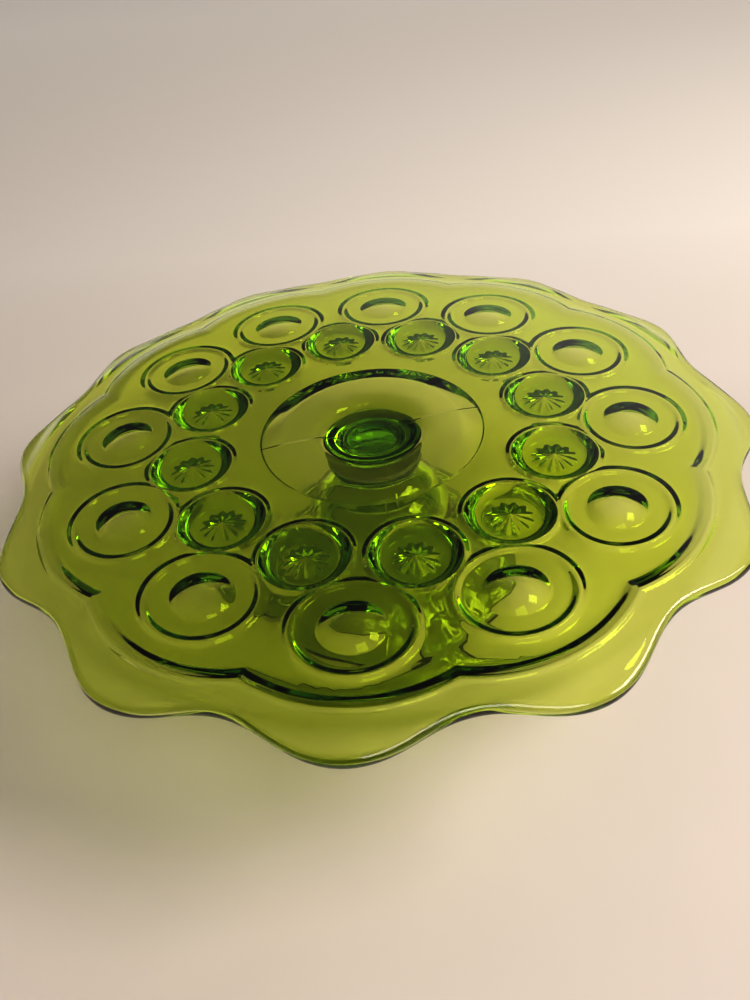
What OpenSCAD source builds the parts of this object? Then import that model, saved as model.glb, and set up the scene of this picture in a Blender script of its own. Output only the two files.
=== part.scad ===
// Low footed cake stand in pressed glass: a twelve-lobed serving plate with moons and stars
// moulded on its underside, which rests on a hollow bell-shaped pedestal through a thin ring.

/* [Plate] */
// Height of the serving surface above the table
stand_h = 81; // [80:0.5:90]
// Radius of the rim at the tip of a lobe
rim_tip_r = 140; // [136:0.5:150]
// Radius of the rim in the valley between two lobes
rim_valley_r = 131; // [128:0.5:134]
// Number of lobes, moons and stars round the plate
lobes = 12; // [8:1:12]
// Thickness of the flange outside the pattern
flange_t = 4.8; // [4:0.1:5]
// Thickness of the field that carries the pattern
field_t = 6.8; // [6.2:0.1:8]
// Thickness of the plain disc in the middle
disc_t = 4.4; // [4.2:0.1:5.6]
// Radius of the plain disc in the middle, inside its sloping edge
disc_r = 34.5; // [32:0.5:35.5]
// Drop of the serving surface from the field to the lobe tips
rim_drop = 4; // [1.5:0.1:4.5]

/* [Moons] */
// Radius of the circle that the moon centres lie on
moon_ring_r = 96.3; // [96:0.1:98]
// Radius of the flat pad in the middle of a moon
moon_r = 15.6; // [14:0.1:16]
// Width of the groove round a moon's pad
moon_groove_w = 5.2; // [4:0.1:5.4]
// Radius of the dimple in a moon
dimple_r = 10.2; // [8:0.1:11]
// Depth of the dimple in a moon
dimple_d = 2.9; // [1.5:0.1:3]

/* [Stars] */
// Radius of the circle that the star bosses lie on
star_ring_r = 69; // [67:0.5:70]
// Radius of a star boss
star_r = 15.3; // [14:0.1:15.5]
// Depth of a star boss below the field
star_d = 6; // [4:0.1:6.5]
// Outer radius of the star cut in a boss
cut_r = 8.4; // [6:0.1:8.6]
// Depth of the star cut
cut_d = 4.6; // [2:0.1:5]

/* [Seat] */
// Outer radius of the pedestal's collar
collar_r = 18.2; // [17.8:0.1:19]
// Radius of the plate's neck
neck_r = 11; // [10.8:0.1:12]
// Radius of the plate's peg
peg_r = 9.5; // [9:0.1:10.2]
// Length of the peg below the neck
peg_l = 6.4; // [5:0.1:7]
// Thickness of the seat ring
ring_t = 1.5; // [1:0.1:2]
// Radial clearance of the peg in the ring and in the socket
fit_gap = 0.05; // [0.02:0.01:0.1]

/* [Pedestal] */
// Radius of the foot at the tip of a scallop
foot_r = 56; // [54:0.5:60]
// Depth of the scallops in the edge of the foot
foot_scallop = 1.4; // [0.5:0.1:2]
// Radius of the waist under the collar
waist_r = 14.8; // [14.5:0.1:15.5]
// Radius of the bell half way down the pedestal
bell_r = 29; // [27:0.5:31]
// Radius of the round buttons on the foot
button_r = 6.5; // [5:0.5:7]

/* [Hidden] */
$fn = 96;
glass_green = "olivedrab";
step = 360 / lobes;
outline_n = lobes * 16;
rim_mid_r = (rim_tip_r + rim_valley_r) / 2;
rim_wave = (rim_tip_r - rim_valley_r) / 2;
// Where the flat serving surface ends and where the flange begins
field_edge_r = 115;
flange_start_r = 123;
flange_start_drop = 1;
past_rim_r = rim_tip_r + 5;
flange_slope = (rim_drop - flange_start_drop) / (rim_tip_r - flange_start_r);
past_rim_drop = rim_drop + flange_slope * (past_rim_r - rim_tip_r);
// The shoulder of the field is a ring of arcs, one round each moon
arc_centre_r = 68.9;
arc_r = 52.4;
field_z = stand_h - field_t;
disc_z = stand_h - disc_t;
recess_r = disc_r + 8;
shoulder_h = field_t - flange_start_drop - flange_t;
groove_d = 1;
star_groove_r = star_r + 1.8;
star_groove_d = 1.3;
star_flat_r = 8.8;
dimple_sphere_r = (dimple_r * dimple_r + dimple_d * dimple_d) / (2 * dimple_d);
star_z = field_z - star_d;
star_points = 12;
star_ridge = 0.78;
// The neck hangs from the disc and ends in a flat face that rests on the ring
neck_z = stand_h - 15;
neck_root_r = neck_r + 8;
seat_gap = 0.05;
ring_z = neck_z - seat_gap - ring_t;
collar_z = ring_z - seat_gap;
socket_gap = 0.3;
socket_z = neck_z - peg_l - socket_gap;
waist_top_z = collar_z - 8;
foot_wave = foot_scallop / 2;
button_ring_r = 43.5;
button_sphere_r = 12;
button_z = 11.6;
button_tilt = 36;
eps = 0.01;

// Closed outline with one wave per lobe, its tips on the X and Y axes
function wavy(mid_r, wave, n) = [
    for (i = [0 : n - 1])
        let (a = 360 * i / n, r = mid_r + wave * cos(lobes * a))
            [r * cos(a), r * sin(a)]
];

// Rounded wall of a star boss, from the bottom of its groove down to its flat end
function boss_wall(n) = [
    for (i = [0 : n])
        let (t = 1 - i / n, up = pow(t, 1.6) * (0.75 + 0.25 * t))
            [star_flat_r + (star_r - star_flat_r) * t, -star_d + (star_d + star_groove_d) * up]
];

// Star outline that alternates between its tips and the ridges between them
function star_outline(r) = [
    for (i = [0 : 2 * star_points - 1])
        let (a = 180 * i / star_points, q = i % 2 == 0 ? r : r * star_ridge)
            [q * cos(a), q * sin(a)]
];

// Copies its children to every moon
module at_moons(z) {
    for (i = [0 : lobes - 1])
        rotate(i * step)
            translate([moon_ring_r, 0, z])
                children();
}

// Copies its children to every star, half a step round from the moons
module at_stars(z) {
    for (i = [0 : lobes - 1])
        rotate((i + 0.5) * step)
            translate([star_ring_r, 0, z])
                children();
}

// Flange and serving surface, cut to the wavy outline of the rim
module flange() {
    intersection() {
        linear_extrude(2 * stand_h)
            polygon(wavy(rim_mid_r, rim_wave, outline_n));
        rotate_extrude()
            polygon([
                [0, stand_h - flange_start_drop - flange_t],
                [flange_start_r, stand_h - flange_start_drop - flange_t],
                [past_rim_r, stand_h - past_rim_drop - flange_t],
                [past_rim_r, stand_h - past_rim_drop],
                [flange_start_r, stand_h - flange_start_drop],
                [field_edge_r, stand_h],
                [0, stand_h]
            ]);
    }
}

// Thicker field under the flange, bounded by one arc round each moon
module field() {
    translate([0, 0, field_z])
        linear_extrude(2 * shoulder_h)
            union() {
                circle(r = moon_ring_r);
                for (i = [0 : lobes - 1])
                    rotate(i * step)
                        translate([arc_centre_r, 0])
                            circle(r = arc_r);
            }
}

// Recess that leaves the plain disc in the middle
module recess() {
    rotate_extrude()
        polygon([
            [0, field_z - 1],
            [recess_r, field_z - 1],
            [recess_r, field_z],
            [disc_r, disc_z],
            [0, disc_z]
        ]);
}

// Groove round a moon's pad
module moon_groove() {
    rotate_extrude()
        polygon([
            [moon_r, -1],
            [moon_r, 0],
            [moon_r + moon_groove_w / 2, groove_d],
            [moon_r + moon_groove_w, 0],
            [moon_r + moon_groove_w, -1]
        ]);
}

// Shallow groove round a star boss; the boss fills its middle
module star_groove() {
    translate([0, 0, -1])
        cylinder(r = star_groove_r, h = 1 + star_groove_d);
}

// Rounded boss that hangs under the field
module star_boss() {
    rotate_extrude()
        polygon(concat([[0, -star_d], [0, 2], [star_r, 2]], boss_wall(7)));
}

// Star-shaped pyramid that is cut up into the bottom of a boss
module star_cut() {
    linear_extrude(height = cut_d, scale = 0.02)
        polygon(star_outline(cut_r));
}

// Neck and peg under the disc, the plate's half of the seat
module neck() {
    rotate_extrude()
        polygon([
            [0, neck_z - peg_l],
            [peg_r - 0.6, neck_z - peg_l],
            [peg_r, neck_z - peg_l + 0.6],
            [peg_r, neck_z],
            [neck_r, neck_z],
            [neck_r, disc_z - 7],
            [neck_r + 1.1, disc_z - 3.6],
            [neck_r + 3.8, disc_z - 1],
            [neck_root_r, disc_z],
            [neck_root_r, disc_z + 2],
            [0, disc_z + 2]
        ]);
}

module plate() {
    color(glass_green)
        union() {
            difference() {
                union() {
                    difference() {
                        union() {
                            flange();
                            field();
                        }
                        recess();
                        at_moons(field_z) moon_groove();
                        at_moons(field_z + dimple_d - dimple_sphere_r) sphere(r = dimple_sphere_r);
                        at_stars(field_z) star_groove();
                    }
                    at_stars(field_z) star_boss();
                }
                at_stars(star_z - eps) star_cut();
            }
            neck();
        }
}

module seat_ring() {
    color("gray")
        translate([0, 0, ring_z])
            difference() {
                cylinder(r = collar_r - 0.2, h = ring_t);
                translate([0, 0, -1])
                    cylinder(r = peg_r + fit_gap, h = ring_t + 2);
            }
}

// Outer shape of the pedestal: foot, bell, waist and collar
module pedestal_outer() {
    intersection() {
        linear_extrude(stand_h)
            polygon(wavy(foot_r - foot_wave, foot_wave, outline_n));
        rotate_extrude()
            polygon([
                [0, 0],
                [foot_r + 1, 0],
                [foot_r + 1, 3.2],
                [foot_r - 1.6, 4.8],
                [foot_r - 9, 8.6],
                [foot_r - 16, 13.4],
                [bell_r + 5.6, 19.6],
                [bell_r + 2.4, 26.5],
                [bell_r + 0.8, 33],
                [bell_r, 38],
                [bell_r - 1.5, 43],
                [bell_r - 4.5, 47.4],
                [bell_r - 9, 50.2],
                [waist_r + 0.9, 51.8],
                [waist_r, 53.4],
                [waist_r, waist_top_z - 1],
                [waist_r + 0.6, waist_top_z + 1],
                [waist_r + 2.2, waist_top_z + 3.2],
                [collar_r, collar_z - 2.4],
                [collar_r, collar_z],
                [0, collar_z]
            ]);
    }
}

// Hollow inside the pedestal, open at the bottom
module pedestal_hollow() {
    rotate_extrude()
        polygon([
            [0, -1],
            [foot_r - 5.5, -1],
            [foot_r - 5.5, 0],
            [foot_r - 8, 3.6],
            [foot_r - 16, 8.4],
            [bell_r + 4, 14.5],
            [bell_r - 1, 22],
            [bell_r - 3.6, 30],
            [bell_r - 4.6, 37],
            [bell_r - 6.6, 41.4],
            [bell_r - 11, 44.8],
            [waist_r - 4, 46.6],
            [0, 47.2]
        ]);
}

// Round button on the sloping top of the foot
module button() {
    rotate([0, button_tilt, 0])
        intersection() {
            translate([0, 0, -button_sphere_r + 1.6])
                sphere(r = button_sphere_r);
            translate([0, 0, -2.5])
                cylinder(r = button_r, h = 6);
        }
}

module pedestal() {
    color(glass_green)
        difference() {
            union() {
                pedestal_outer();
                for (i = [0 : lobes - 1])
                    rotate((i + 0.5) * step)
                        translate([button_ring_r, 0, button_z])
                            button();
            }
            pedestal_hollow();
            translate([0, 0, socket_z])
                cylinder(r = peg_r + fit_gap, h = peg_l + 5);
        }
}

plate();
seat_ring();
pedestal();
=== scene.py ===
"""Low footed cake stand in green pressed glass, on a plain pale floor."""

import math

import bmesh
import bpy
import numpy as np
from mathutils import Matrix, Vector
from mathutils.geometry import delaunay_2d_cdt


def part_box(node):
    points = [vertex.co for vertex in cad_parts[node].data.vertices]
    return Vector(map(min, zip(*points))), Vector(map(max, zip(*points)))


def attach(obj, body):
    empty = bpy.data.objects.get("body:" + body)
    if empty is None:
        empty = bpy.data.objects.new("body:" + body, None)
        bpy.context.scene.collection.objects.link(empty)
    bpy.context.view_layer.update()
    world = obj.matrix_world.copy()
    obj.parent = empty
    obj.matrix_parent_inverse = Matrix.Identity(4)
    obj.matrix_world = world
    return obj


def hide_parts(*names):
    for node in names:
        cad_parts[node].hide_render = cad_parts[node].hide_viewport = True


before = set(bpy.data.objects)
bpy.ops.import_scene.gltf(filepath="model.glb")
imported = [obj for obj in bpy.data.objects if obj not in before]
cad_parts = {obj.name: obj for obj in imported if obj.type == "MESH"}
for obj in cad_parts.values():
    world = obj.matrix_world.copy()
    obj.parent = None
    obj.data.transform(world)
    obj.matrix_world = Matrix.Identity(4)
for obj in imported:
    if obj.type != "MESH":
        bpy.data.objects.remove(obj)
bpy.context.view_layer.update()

# ---------------------------------------------------------------------------------------------
# Dimensions in millimetres. Depths are measured down from the flat serving surface.
# ---------------------------------------------------------------------------------------------
MM = 0.001
LOBES = 12
STEP = 2 * math.pi / LOBES
HALF = STEP / 2
PLATE_LO, PLATE_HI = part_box("plate")
RING_LO, RING_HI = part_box("seat_ring")
FOOT_LO, FOOT_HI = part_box("pedestal")
TOP_Z = PLATE_HI.z / MM

# Rim and flange
RIM_TIP = PLATE_HI.x / MM
RIM_VALLEY = RIM_TIP - 9
FLANGE_T, FLANGE_START = 4.8, 118.0
FLANGE_DROP, FLANGE_SLOPE = 1.0, 0.055
LIP_START, LIP_END, LIP_DROP = 128.0, 136.5, 1.8
# Field, its shoulder (one arc round each moon, with a shallow dent outside it) and the
# recess of the middle disc, which ends in a small step
FIELD_T, DISC_T = 6.8, 4.4
RECESS_IN, RECESS_OUT, RECESS_STEP, STEP_W = 34.5, 42.5, 0.8, 0.06
ARC_CENTRE, ARC_R, SHOULDER_HALF = 68.9, 52.4, 2.2
DENT_OFF, DENT_HALF, DENT_D = 0.6, 1.6, 0.35
# Moons: an oval pad with a dimple, inside a groove
MOON_RING, MOON_WIDE = 96.3, 1.09
PAD_R, MOON_MID, MOON_END, MOON_GROOVE = 15.0, 17.5, 20.3, 1.2
DIMPLE_R, DIMPLE_D = 10.2, 2.9
# Stars: a rounded boss with a star cut, inside a groove
STAR_RING, STAR_FLAT, STAR_R, STAR_END = 69.0, 8.8, 15.3, 17.8
STAR_D, STAR_GROOVE = 6.0, 1.1
CUT_R, CUT_D, CUT_RIDGE, CUT_POINTS = 8.4, 4.6, 0.78, 12
# Neck, which flares into the disc, and peg, which turns in the socket with a small gap
NECK_R, NECK_ROOT, PEG_R = 11.0, 19.0, 9.5
NECK_FLARE, NECK_SOFT, GAP = 7, 6.5, 0.05
PEG_END = TOP_Z - PLATE_LO.z / MM
NECK_D = TOP_Z - RING_HI.z / MM - GAP
# Inside this radius a profile is closed by a flat middle
HUB_R = 4
# Mesh layout: the patterned underside is triangulated between these two circles
INNER_R, OUTER_R = 30.0, 125.0
INNER_N, OUTER_N, EDGE_LEN = 8, 20, 1.0
ROUND_N, CORNER_N = 480, 5
# A depth below everything, for where a part of the pattern isn't there
ABSENT = 99


# ---------------------------------------------------------------------------------------------
# Height fields of the plate
# ---------------------------------------------------------------------------------------------
def smooth(t):
    """Smoothstep from 0 to 1."""
    t = np.clip(t, 0, 1)
    return t * t * (3 - 2 * t)


def fold(x, y):
    """Folds a point into the half sector from a moon (angle 0) to a star (angle HALF)."""
    r = np.hypot(x, y)
    a = np.abs((np.arctan2(y, x) + HALF) % STEP - HALF)
    return r, r * np.cos(a), r * np.sin(a)


def soft_min(a, b, width):
    """Smaller of two depths, with the crease between them rounded."""
    h = np.clip(0.5 + 0.5 * (b - a) / width, 0, 1)
    return b + (a - b) * h - width * h * (1 - h)


def top_depth(x, y):
    """Depth of the serving surface: flat, then a soft fall past the shoulder and a lip."""
    r, fx, fy = fold(x, y)
    beyond = np.hypot(fx - ARC_CENTRE, fy) - ARC_R
    fall = FLANGE_DROP * smooth((beyond + 4) / 10)
    lip = LIP_DROP * smooth((r - LIP_START) / (LIP_END - LIP_START))
    return fall + FLANGE_SLOPE * np.clip(r - FLANGE_START, 0, None) + lip


def moon_depth(m):
    """Depth of the underside at a distance from the middle of a moon."""
    dip = np.interp(m, [PAD_R, PAD_R + 0.5, MOON_MID - 0.4, MOON_MID], [0, 0.12, 0.97, 1])
    rise = np.interp(m, [MOON_MID, MOON_MID + 0.4, MOON_END - 0.6, MOON_END], [1, 0.97, 0.1, 0])
    groove = MOON_GROOVE * np.where(m < MOON_MID, dip, rise)
    bowl = DIMPLE_D * np.clip(1 - (m / DIMPLE_R) ** 2, 0, 1)
    return FIELD_T - groove - bowl


def star_wall(q):
    """Depth of a star boss and its groove at a distance from its middle, without the cut."""
    t = np.clip((q - STAR_FLAT) / (STAR_R - STAR_FLAT), 0, 1)
    fall = t**2.4 * (1 - 0.25 * (1 - t))
    boss = FIELD_T + STAR_D - (STAR_D + STAR_GROOVE) * fall
    rise = np.interp(q, [STAR_R, STAR_R + 0.5, STAR_END - 0.4, STAR_END], [1, 0.93, 0.08, 0])
    return np.where(q < STAR_R, boss, FIELD_T - STAR_GROOVE * rise)


def under_depth(x, y):
    """Depth of the plate's underside, with its moons, stars, shoulder and middle disc."""
    r, fx, fy = fold(x, y)
    # Field with the recessed disc, which thickens towards the neck
    recess = np.clip((r - RECESS_IN) / (RECESS_OUT - RECESS_IN), 0, 1)
    field = DISC_T + (FIELD_T - DISC_T - RECESS_STEP) * recess**1.15
    field = field + RECESS_STEP * np.clip((r - RECESS_OUT + STEP_W) / STEP_W, 0, 1)
    # Shoulder: outside the arcs the underside follows the flange, past a shallow dent
    beyond = np.hypot(fx - ARC_CENTRE, fy) - ARC_R
    t = np.clip((beyond + SHOULDER_HALF) / (2 * SHOULDER_HALF), 0, 1)
    share = 0.6 * t + 0.4 * smooth(t)
    dent = DENT_D * smooth(1 - np.abs(beyond - SHOULDER_HALF - DENT_OFF) / DENT_HALF)
    ground = field * (1 - share) + (top_depth(x, y) + FLANGE_T) * share - dent
    # Moons and stars; their grooves run into each other
    m = np.hypot(fx - MOON_RING, fy / MOON_WIDE)
    sx = fx - STAR_RING * math.cos(HALF)
    sy = fy - STAR_RING * math.sin(HALF)
    q = np.hypot(sx, sy)
    moon = np.where(m < MOON_END, moon_depth(m), ABSENT)
    groove = np.where((q > STAR_R) & (q < STAR_END), star_wall(q), ABSENT)
    depth = np.minimum(soft_min(moon, groove, 0.25), ground)
    angle = np.arctan2(sy, sx) - HALF
    t = np.abs(2 * ((angle * CUT_POINTS / (2 * math.pi)) % 1) - 1)
    reach = CUT_R * (CUT_RIDGE + (1 - CUT_RIDGE) * t)
    cut = CUT_D * np.clip(1 - q / reach, 0, 1)
    return np.where(q <= STAR_R, star_wall(q) - cut, depth)


# ---------------------------------------------------------------------------------------------
# Layout of the patterned underside: one half sector, as points and triangles
# ---------------------------------------------------------------------------------------------
def half_oval(centre, along, across, radius, wide, n):
    """Points on half an oval, from one side of a symmetry line to the other."""
    t = np.linspace(0, math.pi, n + 1)
    c, s = radius * np.cos(t), radius * wide * np.sin(t)
    c[0], s[0], c[-1], s[-1] = radius, 0, -radius, 0
    return centre + np.outer(c, along) + np.outer(s, across)


def arc(centre_x, radius, n):
    """Points on a circle about a point of the moon line, from that line to the star line."""
    b = centre_x * math.cos(HALF)
    reach = b + math.sqrt(b * b - centre_x**2 + radius**2)
    end = math.atan2(reach * math.sin(HALF), reach * math.cos(HALF) - centre_x)
    t = np.linspace(0, end, n + 1)
    pts = np.column_stack((centre_x + radius * np.cos(t), radius * np.sin(t)))
    pts[-1] = reach * math.cos(HALF), reach * math.sin(HALF)
    return pts


def runs(points, keep):
    """Splits a chain of points into the runs that are kept."""
    out, run = [], []
    for p, k in zip(points, keep):
        if k:
            run.append(p)
        elif run:
            out.append(np.array(run))
            run = []
    return out + ([np.array(run)] if run else [])


def pattern_chains(moon_c, star_c, star_dir, star_in):
    """Chains of points that follow the edges of the pattern in one half sector."""
    chains = []
    moon_rings = [1.5, 3, 4.5, 6, 7.4, 8.6, 9.3, DIMPLE_R, 10.3, 11.3, 12.8, 14.2, PAD_R]
    moon_rings += [PAD_R + 0.5, 16, 16.5, MOON_MID - 0.4, MOON_MID, MOON_MID + 0.4]
    moon_rings += [18.4, 19, MOON_END - 0.6, MOON_END]
    for radius in moon_rings:
        n = max(6, round(math.pi * radius / EDGE_LEN))
        ring = half_oval(moon_c, (1.0, 0.0), (0.0, 1.0), radius, MOON_WIDE, n)
        q = np.hypot(*(ring - star_c).T)
        own = moon_depth(np.full(len(q), radius))
        keep = (q > STAR_END) | ((q > STAR_R + 0.3) & (own < star_wall(q) + 0.02))
        chains += runs(ring, keep)
    cut_rings = [0.6, 1.3, 2, 2.8, 3.6, 4.4, 5.2, 6, CUT_R * CUT_RIDGE, 7.1, 7.7, CUT_R]
    for radius in cut_rings:
        n = 12 if radius < 1 else 24 if radius < 3 else 48
        chains.append(half_oval(star_c, star_dir, star_in, radius, 1, n))
    star_rings = [STAR_FLAT, 9.5, 10.2, 10.9, 11.6, 12.3, 12.9, 13.5, 14.0, 14.5, 15, STAR_R]
    star_rings += [STAR_R + 0.25, STAR_R + 0.5, 16, 16.5, 17, STAR_END - 0.4, STAR_END]
    for radius in star_rings:
        ring = half_oval(star_c, star_dir, star_in, radius, 1, round(math.pi * radius / EDGE_LEN))
        m = np.hypot(ring[:, 0] - MOON_RING, ring[:, 1] / MOON_WIDE)
        own = star_wall(np.full(len(m), radius))
        keep = (m > MOON_END) | (radius <= STAR_R + 0.25) | (own < moon_depth(m) - 0.02)
        chains += runs(ring, keep)
    shoulder_offs = [-SHOULDER_HALF, -1.7, -1.1, -0.5, 0, 0.5, 1.1, 1.7, SHOULDER_HALF]
    for off in shoulder_offs + [2.8, 3.3, 3.8, 4.4]:
        chains.append(arc(ARC_CENTRE, ARC_R + off, 34))
    recess_rings = [32, 33.6, RECESS_IN, 35.2, 36, 37, 38, 39, 40, 41, 42]
    for radius in recess_rings + [RECESS_OUT - STEP_W, RECESS_OUT, 43, 44]:
        chains.append(arc(0, radius, 20))
    return chains


def half_sector():
    """Vertices and triangles of the underside between a moon line and a star line."""
    moon_c = np.array([MOON_RING, 0.0])
    star_dir = np.array([math.cos(HALF), math.sin(HALF)])
    star_in = np.array([math.sin(HALF), -math.cos(HALF)])
    star_c = STAR_RING * star_dir
    chains = pattern_chains(moon_c, star_c, star_dir, star_in)
    inner, outer = arc(0, INNER_R, INNER_N), arc(0, OUTER_R, OUTER_N)
    marks = np.vstack(chains + [moon_c[None], star_c[None]])
    # Loose points fill the plain ground between the chains
    gap = 2.0
    xs, ys = np.meshgrid(np.arange(INNER_R, OUTER_R, gap), np.arange(0, 34, gap * 0.87))
    xs = xs + (np.arange(len(xs)) % 2)[:, None] * gap / 2
    loose = np.column_stack((xs.ravel(), ys.ravel()))
    r, a = np.hypot(*loose.T), np.arctan2(loose[:, 1], loose[:, 0])
    keep = (r > INNER_R + 0.8) & (r < OUTER_R - 0.8)
    keep &= (loose[:, 1] > 0.7) & ((HALF - a) * r > 0.7)
    loose = loose[keep]
    near = np.array([np.min(np.hypot(*(marks - p).T)) for p in loose])
    loose = loose[near > 0.8]
    # The two symmetry lines carry every chain end that lies on them, and fill the gaps
    lines = []
    ends = np.vstack([marks, inner, outer])
    for along, across in (((1.0, 0.0), (0.0, 1.0)), (tuple(star_dir), tuple(star_in))):
        on = ends[np.abs(ends @ np.array(across)) < 1e-6] @ np.array(along)
        on = np.unique(np.round(on, 6))
        filled = [on[0]]
        for value in on[1:]:
            n = max(1, math.ceil((value - filled[-1]) / 1.6))
            filled += list(filled[-1] + (value - filled[-1]) * np.arange(1, n + 1) / n)
        lines.append(np.outer(filled, along))
    border = np.vstack([lines[0], outer[1:-1], lines[1][::-1], inner[-2:0:-1]])
    verts, index = [], {}

    def add(p):
        key = (round(p[0], 5), round(p[1], 5))
        if key not in index:
            index[key] = len(verts)
            verts.append(Vector((float(p[0]), float(p[1]))))
        return index[key]

    loop = [add(p) for p in border]
    edges = []
    for chain in chains:
        ids = [add(p) for p in chain]
        edges += [(i, j) for i, j in zip(ids, ids[1:]) if i != j]
    for p in np.vstack([loose, moon_c[None], star_c[None]]):
        add(p)
    out = delaunay_2d_cdt(verts, edges, [loop], 1, 1e-6)
    points = np.array([tuple(v) for v in out[0]])
    # Points meant to lie on a symmetry line are put exactly on it
    off = points @ star_in
    close = np.abs(off) < 1e-4
    points[close] -= np.outer(off[close], star_in)
    points[np.abs(points[:, 1]) < 1e-4, 1] = 0
    return points, [tuple(f) for f in out[2]]


# ---------------------------------------------------------------------------------------------
# Meshes
# ---------------------------------------------------------------------------------------------
def rounded(corners):
    """Profile through (radius, height, softness) corners, each rounded off by its softness."""
    out = [np.array(corners[0][:2], float)]
    for before, here, after in zip(corners, corners[1:], corners[2:]):
        a, p, b = (np.array(c[:2], float) for c in (before, here, after))
        if here[2] == 0:
            out.append(p)
            continue
        start = p + (a - p) * min(0.49, here[2] / np.linalg.norm(a - p))
        stop = p + (b - p) * min(0.49, here[2] / np.linalg.norm(b - p))
        for t in np.linspace(0, 1, CORNER_N + 1):
            out.append((1 - t) ** 2 * start + 2 * t * (1 - t) * p + t * t * stop)
    out.append(np.array(corners[-1][:2], float))
    return out


def ring_points(radius, height, angles):
    """One closed row of vertices; radius and height may change with the angle."""
    r = np.broadcast_to(radius, angles.shape)
    z = np.broadcast_to(height, angles.shape)
    return np.column_stack((r * np.cos(angles), r * np.sin(angles), z)) * MM


def add_rows(bm, rows, tip=None, start=None):
    """Joins closed rows of vertices with quads, and the end rows to points on the axis."""
    made = [[bm.verts.new(p) for p in row] for row in rows]
    n = len(made[0])
    for lower, upper in zip(made, made[1:]):
        for i in range(n):
            j = (i + 1) % n
            bm.faces.new((lower[i], lower[j], upper[j], upper[i]))
    for height, row in ((start, made[0]), (tip, made[-1])):
        if height is not None:
            middle = bm.verts.new((0, 0, height * MM))
            for i in range(n):
                bm.faces.new((row[i], row[(i + 1) % n], middle))


def new_object(name, bm, mat):
    """Makes a smooth object from a closed bmesh, with its normals pointing out."""
    bmesh.ops.remove_doubles(bm, verts=bm.verts, dist=0.002 * MM)
    bmesh.ops.recalc_face_normals(bm, faces=bm.faces)
    for f in bm.faces:
        f.smooth = True
    mesh = bpy.data.meshes.new(name)
    bm.to_mesh(mesh)
    bm.free()
    mesh.materials.append(mat)
    obj = bpy.data.objects.new(name, mesh)
    bpy.context.scene.collection.objects.link(obj)
    return obj


def add_underside(bm):
    """Patterned underside: one half sector, mirrored and turned into all the others."""
    points, faces = half_sector()
    height = TOP_Z - under_depth(points[:, 0], points[:, 1])
    for mirror in (1, -1):
        for k in range(LOBES):
            c, s = math.cos(k * STEP), math.sin(k * STEP)
            x = points[:, 0] * c - points[:, 1] * mirror * s
            y = points[:, 0] * s + points[:, 1] * mirror * c
            copy = [bm.verts.new(p) for p in np.column_stack((x, y, height)) * MM]
            for f in faces:
                bm.faces.new([copy[i] for i in f])


def add_flange_and_top(bm):
    """Flange, rounded rim and serving surface."""
    angles = np.arange(2 * OUTER_N * LOBES) * math.pi / (OUTER_N * LOBES)
    edge = FLANGE_T / 2
    inset = (RIM_TIP + RIM_VALLEY) / 2 - edge + (RIM_TIP - RIM_VALLEY) / 2 * np.cos(LOBES * angles)

    def surface(r, drop):
        z = TOP_Z - top_depth(r * np.cos(angles), r * np.sin(angles)) - drop
        return ring_points(r, z, angles)

    out = [OUTER_R + (inset - OUTER_R) * t for t in np.linspace(0, 1, 10)]
    rows = [surface(r, FLANGE_T) for r in out]
    middle = TOP_Z - top_depth(inset * np.cos(angles), inset * np.sin(angles)) - edge
    for t in np.linspace(0, math.pi, 13)[1:-1]:
        rows.append(ring_points(inset + edge * math.sin(t), middle - edge * math.cos(t), angles))
    rows += [surface(r, 0) for r in out[::-1]]
    for r in list(np.arange(124, 107, -1.4)) + [100, 60, 20]:
        rows.append(surface(np.full(len(angles), float(r)), 0))
    add_rows(bm, rows, TOP_Z)


def add_neck(bm):
    """Middle of the underside: disc, neck and peg."""
    angles = np.arange(2 * INNER_N * LOBES) * math.pi / (INNER_N * LOBES)
    corners = [(INNER_R, DISC_T, 0), (NECK_ROOT, DISC_T, NECK_SOFT)]
    corners += [(NECK_R, DISC_T + NECK_FLARE, NECK_SOFT), (NECK_R, NECK_D, 0.3)]
    corners += [(PEG_R, NECK_D, 0.25), (PEG_R, PEG_END, 0.7), (HUB_R, PEG_END, 0)]
    rows = [ring_points(r, TOP_Z - d, angles) for r, d in rounded(corners)]
    add_rows(bm, rows, TOP_Z - PEG_END)


def build_plate(mat):
    """The serving plate: pattern, flange and top, neck and peg, closed into one mesh."""
    bm = bmesh.new()
    add_underside(bm)
    add_flange_and_top(bm)
    add_neck(bm)
    return new_object("glass_plate", bm, mat)


# ---------------------------------------------------------------------------------------------
# Pedestal
# ---------------------------------------------------------------------------------------------
FOOT_R, SCALLOP = FOOT_HI.x / MM, 1.4
COLLAR_R, COLLAR_Z = 18.2, FOOT_HI.z / MM
BELL_R, WAIST_R = 29.0, 14.8
SOCKET_R, SOCKET_Z = PEG_R + GAP, TOP_Z - PEG_END - 0.3
BUTTON_RING, BUTTON_R, BUTTON_H = 43.5, 6.5, 1.3
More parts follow.
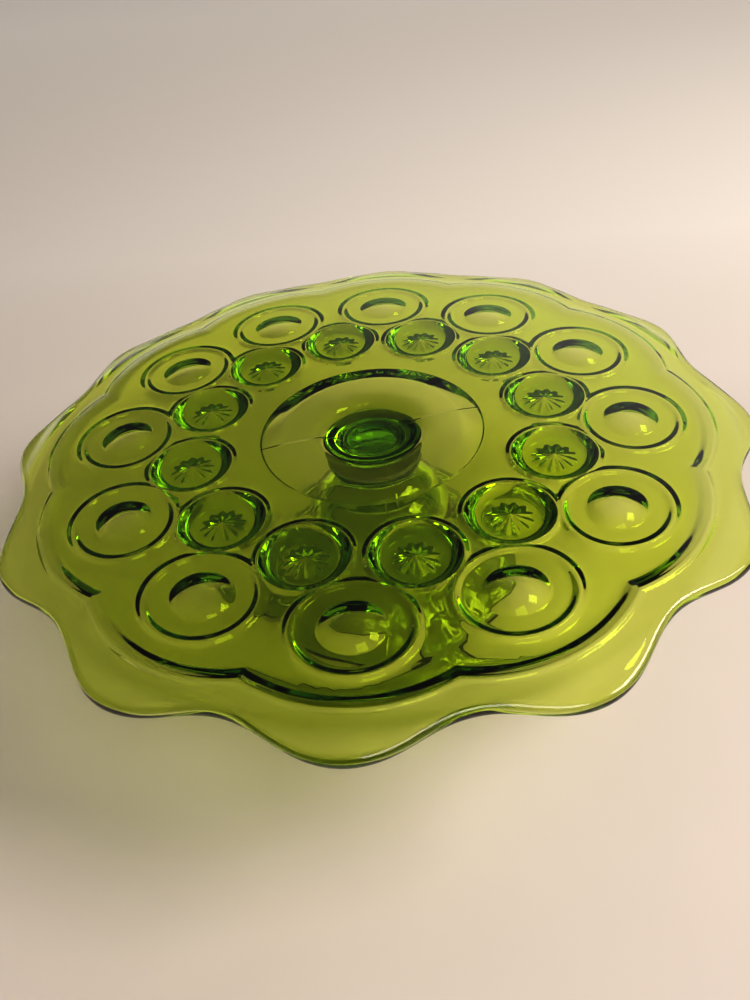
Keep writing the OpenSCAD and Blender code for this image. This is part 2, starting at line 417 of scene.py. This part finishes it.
# Profiles as (radius, height, softness): socket, collar, waist, bell and foot; then the hollow
OUTSIDE = [
    (HUB_R, SOCKET_Z, 0), (SOCKET_R, SOCKET_Z, 0.6),
    (SOCKET_R, COLLAR_Z, 0.4), (COLLAR_R, COLLAR_Z, 0.5),
    (COLLAR_R, COLLAR_Z - 2.4, 1.6), (WAIST_R + 2.2, COLLAR_Z - 4.8, 1.2),
    (WAIST_R, COLLAR_Z - 8, 1.6), (WAIST_R, 52.6, 1.2), (BELL_R - 9, 50.2, 2),
    (BELL_R - 4.5, 47.4, 2), (BELL_R - 1.5, 43, 2), (BELL_R, 38, 2),
    (BELL_R + 0.8, 33, 3), (BELL_R + 2.4, 26.5, 3),
    (BELL_R + 5.6, 19.6, 3.2), (FOOT_R - 16, 13.4, 3.6), (FOOT_R - 9, 8.6, 3),
    (FOOT_R - 3, 5.4, 2.4), (FOOT_R, 4.2, 1.6), (FOOT_R, 0, 1.4), (FOOT_R - 5.2, 0, 0.8),
]
HOLLOW = [
    (FOOT_R - 5.2, 0, 0), (FOOT_R - 8, 3.6, 2), (FOOT_R - 16, 8.4, 3.4), (BELL_R + 4, 14.5, 3),
    (BELL_R - 1, 22, 3), (BELL_R - 3.6, 30, 3), (BELL_R - 4.6, 37, 2), (BELL_R - 6.6, 41.4, 2),
    (BELL_R - 11, 44.8, 2), (WAIST_R - 4, 46.6, 2), (HUB_R, 47.2, 0),
]


def build_pedestal(mat):
    """The foot: scalloped, with a button inside each dip of the scallop, hollow from below."""
    bm = bmesh.new()
    angles = np.arange(ROUND_N) * 2 * math.pi / ROUND_N
    wave = (np.cos(LOBES * angles) - 1) / 2 * SCALLOP
    across = (angles % STEP) - HALF
    rows = []
    for part, outside in ((OUTSIDE, True), (HOLLOW, False)):
        for r, z in rounded(part):
            radius = r + wave * smooth((r - 40) / (FOOT_R - 40))
            q = np.hypot(radius * across, (r - BUTTON_RING) * 1.2) / BUTTON_R
            button = BUTTON_H * (1 - smooth((q - 0.55) / 0.45)) * (outside and z > 4)
            rows.append(ring_points(radius, z + button, angles))
    add_rows(bm, rows, HOLLOW[-1][1], SOCKET_Z)
    return new_object("glass_pedestal", bm, mat)


def build_ring(mat):
    """The thin ring between the plate's neck and the pedestal's collar."""
    bm = bmesh.new()
    lo, hi = RING_LO.z / MM, RING_HI.z / MM
    outer, inner = RING_HI.x / MM, PEG_R + GAP
    corners = [(inner, (lo + hi) / 2, 0), (inner, hi, 0.4), (outer, hi, 0.4)]
    corners += [(outer, lo, 0.4), (inner, lo, 0.4), (inner, (lo + hi) / 2, 0)]
    angles = np.arange(ROUND_N // 2) * 4 * math.pi / ROUND_N
    add_rows(bm, [ring_points(r, z, angles) for r, z in rounded(corners)])
    return new_object("cushion_ring", bm, mat)


# ---------------------------------------------------------------------------------------------
# Materials
# ---------------------------------------------------------------------------------------------
def material(name):
    """A new material with its node tree and its main shader."""
    mat = bpy.data.materials.new(name)
    mat.use_nodes = True
    tree = mat.node_tree
    return mat, tree, tree.nodes["Principled BSDF"]


def noise(tree, scale, detail):
    """Noise in object coordinates, from 0 to 1."""
    coords = tree.nodes.new("ShaderNodeTexCoord")
    node = tree.nodes.new("ShaderNodeTexNoise")
    node.inputs["Scale"].default_value = scale
    node.inputs["Detail"].default_value = detail
    tree.links.new(coords.outputs["Object"], node.inputs["Vector"])
    return node.outputs["Fac"]


def remap(tree, value, lo, hi, out_lo, out_hi):
    """Maps a value linearly from one range to another, with clamping."""
    node = tree.nodes.new("ShaderNodeMapRange")
    tree.links.new(value, node.inputs["Value"])
    for name, number in zip(("From Min", "From Max", "To Min", "To Max"), (lo, hi, out_lo, out_hi)):
        node.inputs[name].default_value = number
    return node.outputs["Result"]


def calculate(tree, operation, a, b):
    """One maths step on two values, each a socket or a number."""
    node = tree.nodes.new("ShaderNodeMath")
    node.operation = operation
    for socket, value in zip(node.inputs, (a, b)):
        if isinstance(value, (int, float)):
            socket.default_value = value
        else:
            tree.links.new(value, socket)
    return node.outputs[0]


def bump(tree, shader, height, strength, distance):
    """Lets a height from 0 to 1 tilt the shader's normal."""
    node = tree.nodes.new("ShaderNodeBump")
    node.inputs["Strength"].default_value = strength
    node.inputs["Distance"].default_value = distance
    tree.links.new(height, node.inputs["Height"])
    tree.links.new(node.outputs["Normal"], shader.inputs["Normal"])


def seams(tree):
    """Height of the four mould seams, which run out from the axis to the edge of the disc."""
    coords = tree.nodes.new("ShaderNodeTexCoord")
    turned = tree.nodes.new("ShaderNodeMapping")
    turned.inputs["Rotation"].default_value = (0, 0, -HALF)
    split = tree.nodes.new("ShaderNodeSeparateXYZ")
    tree.links.new(coords.outputs["Object"], turned.inputs["Vector"])
    tree.links.new(turned.outputs["Vector"], split.inputs["Vector"])
    x = calculate(tree, "ABSOLUTE", split.outputs["X"], 0.0)
    y = calculate(tree, "ABSOLUTE", split.outputs["Y"], 0.0)
    near = calculate(tree, "MINIMUM", x, y)
    ridge = remap(tree, near, 0.0, 0.0006, 1.0, 0.0)
    reach = remap(tree, calculate(tree, "MAXIMUM", x, y), 0.042, 0.046, 1.0, 0.0)
    below = remap(tree, split.outputs["Z"], TOP_Z * MM - 0.003, TOP_Z * MM - 0.001, 1.0, 0.0)
    return calculate(tree, "MULTIPLY", calculate(tree, "MULTIPLY", ridge, reach), below)


def glass_material():
    """Clear glass that absorbs red and blue along the way of the light."""
    mat, tree, shader = material("pressed_green_glass")
    shader.inputs["Base Color"].default_value = (1, 1, 1, 1)
    shader.inputs["Transmission Weight"].default_value = 1.0
    shader.inputs["IOR"].default_value = 1.52
    shader.inputs["Roughness"].default_value = 0.0
    absorb = tree.nodes.new("ShaderNodeVolumeAbsorption")
    absorb.inputs["Color"].default_value = (0.86, 0.925, 0.12, 1)
    absorb.inputs["Density"].default_value = 365.0
    tree.links.new(absorb.outputs["Volume"], tree.nodes["Material Output"].inputs["Volume"])
    # Soft ripples of pressed glass, and the mould seams
    ripple = calculate(tree, "MULTIPLY", noise(tree, 60.0, 1.0), 0.5)
    bump(tree, shader, calculate(tree, "ADD", ripple, seams(tree)), 0.3, 0.0003)
    return mat


def ring_material():
    """Matte grey, slightly uneven."""
    mat, tree, shader = material("grey_cushion")
    shader.inputs["Base Color"].default_value = (0.16, 0.16, 0.15, 1)
    tree.links.new(remap(tree, noise(tree, 900.0, 3.0), 0.3, 0.7, 0.5, 0.75),
                   shader.inputs["Roughness"])
    bump(tree, shader, noise(tree, 2500.0, 2.0), 0.3, 0.0001)
    return mat


def floor_material():
    """Pale, slightly warm surface with soft blotches, and painted light far behind the stand."""
    mat, tree, shader = material("pale_floor")
    mix = tree.nodes.new("ShaderNodeMix")
    mix.data_type = "RGBA"
    mix.inputs["A"].default_value = (0.70, 0.615, 0.555, 1)
    mix.inputs["B"].default_value = (0.76, 0.67, 0.61, 1)
    tree.links.new(remap(tree, noise(tree, 5.0, 4.0), 0.35, 0.65, 0.0, 1.0), mix.inputs["Factor"])
    # Painted light: paler and faintly glowing far behind the stand, where a pale lit wall would be
    coords = tree.nodes.new("ShaderNodeTexCoord")
    split = tree.nodes.new("ShaderNodeSeparateXYZ")
    tree.links.new(coords.outputs["Object"], split.inputs["Vector"])
    far = tree.nodes.new("ShaderNodeMix")
    far.data_type = "RGBA"
    far.inputs["B"].default_value = (0.96, 0.88, 0.81, 1)
    tree.links.new(remap(tree, split.outputs["Y"], 0.1, 0.35, 0.0, 1.0), far.inputs["Factor"])
    tree.links.new(mix.outputs["Result"], far.inputs["A"])
    tree.links.new(far.outputs["Result"], shader.inputs["Base Color"])
    # Painted glow: the far floor gives off faint light, though it is no lamp
    glow = remap(tree, split.outputs["Y"], 0.3, 1.4, 0.0, 0.15)
    tree.links.new(glow, shader.inputs["Emission Strength"])
    shader.inputs["Emission Color"].default_value = (1.0, 0.88, 0.78, 1)
    shader.inputs["Roughness"].default_value = 0.6
    return mat


# ---------------------------------------------------------------------------------------------
# Pieces
# ---------------------------------------------------------------------------------------------
GLASS = glass_material()
PIECES = [
    (build_plate(GLASS), "plate", "green_glass"),
    (build_pedestal(GLASS), "pedestal", "green_glass"),
    (build_ring(ring_material()), "seat_ring", "grey_ring"),
]
for piece, node, slot in PIECES:
    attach(piece, node)
    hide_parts(node)

# ---------------------------------------------------------------------------------------------
# Stage
# ---------------------------------------------------------------------------------------------
bpy.ops.mesh.primitive_plane_add(size=6, location=(0, 0, -0.0005))
floor = bpy.context.object
floor.name = "floor"
floor.data.materials.append(floor_material())

scene = bpy.context.scene
world = bpy.data.worlds.new("studio")
scene.world = world
world.use_nodes = True
sky = world.node_tree
backdrop = sky.nodes["Background"]
backdrop.inputs["Color"].default_value = (1.0, 0.95, 0.88, 1)
# Dim all round, with a soft bright wall behind the stand, higher to the right
DIM, BRIGHT, WALL_SLANT = 0.12, 0.85, 0.45
way = sky.nodes.new("ShaderNodeSeparateXYZ")
sky.links.new(sky.nodes.new("ShaderNodeTexCoord").outputs["Generated"], way.inputs["Vector"])
slant = calculate(sky, "MULTIPLY", way.outputs["X"], WALL_SLANT)
low = remap(sky, calculate(sky, "SUBTRACT", way.outputs["Z"], slant), 0.58, 0.40, 0.0, 1.0)
behind = remap(sky, way.outputs["Y"], 0.1, 0.5, 0.0, 1.0)
wall = remap(sky, calculate(sky, "MULTIPLY", low, behind), 0.0, 1.0, DIM, BRIGHT)
sky.links.new(wall, backdrop.inputs["Strength"])

LAMP_COLOUR = (1, 0.93, 0.86)


def area_light(name, azimuth, elevation, distance, size, power):
    """A soft square lamp that points at the stand."""
    data = bpy.data.lights.new(name, "AREA")
    data.size = size
    data.energy = power
    data.color = LAMP_COLOUR
    lamp = bpy.data.objects.new(name, data)
    a, e = math.radians(azimuth), math.radians(elevation)
    back = Vector((math.sin(a) * math.cos(e), -math.cos(a) * math.cos(e), math.sin(e)))
    lamp.location = back * distance
    lamp.rotation_euler = back.to_track_quat("Z", "Y").to_euler()
    scene.collection.objects.link(lamp)


area_light("key", azimuth=85, elevation=44, distance=1.3, size=0.5, power=10.5)
area_light("front", azimuth=25, elevation=48, distance=1.5, size=0.6, power=7.0)

camera_data = bpy.data.cameras.new("camera")
camera_data.sensor_width = 36
camera_data.lens = 28.72
camera_data.clip_start = 0.01
camera = bpy.data.objects.new("camera", camera_data)
camera.location = (0.0309, -0.2463, 0.2563)
turn = Matrix.Rotation(math.radians(7.58), 3, "Z")
tilt = Matrix.Rotation(math.radians(49.26), 3, "X")
roll = Matrix.Rotation(math.radians(-6.79), 3, "Z")
camera.rotation_euler = (turn @ tilt @ roll).to_euler()
scene.collection.objects.link(camera)
scene.camera = camera
scene.view_settings.view_transform = "Standard"
scene.view_settings.look = "Medium High Contrast"
